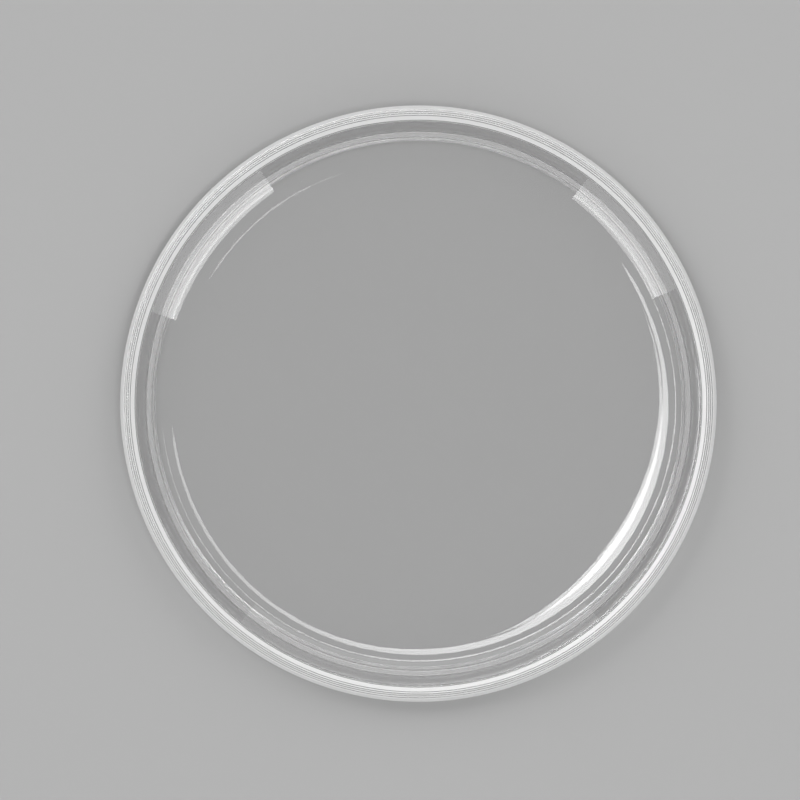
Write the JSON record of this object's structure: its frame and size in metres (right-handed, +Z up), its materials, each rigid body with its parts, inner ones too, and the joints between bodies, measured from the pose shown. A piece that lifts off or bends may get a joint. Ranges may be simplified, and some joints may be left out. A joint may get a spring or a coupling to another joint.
{
  "type": "watch crystal",
  "caption": "Clear acrylic watch crystal: a thin, hollow, gently domed lens with a tight round shoulder and a turned lip that the case holds.",
  "frame": {"origin": "centre of the flat ring that the crystal rests on, on the axis of the dome", "axes": "+Z up along the axis of the dome, out of the watch; +X and +Y lie in the plane of the base, and any two will do because the part is round"},
  "size_m": [0.034, 0.034, 0.0051],
  "materials": {
    "clear_acrylic": "clear acrylic, polished on the dome, the dome wall and in the hollow, left satin with fine turned lines on the lip"
  },
  "bodies": {
    "root": {"crystal": "clear_acrylic"}
  },
  "joints": []
}
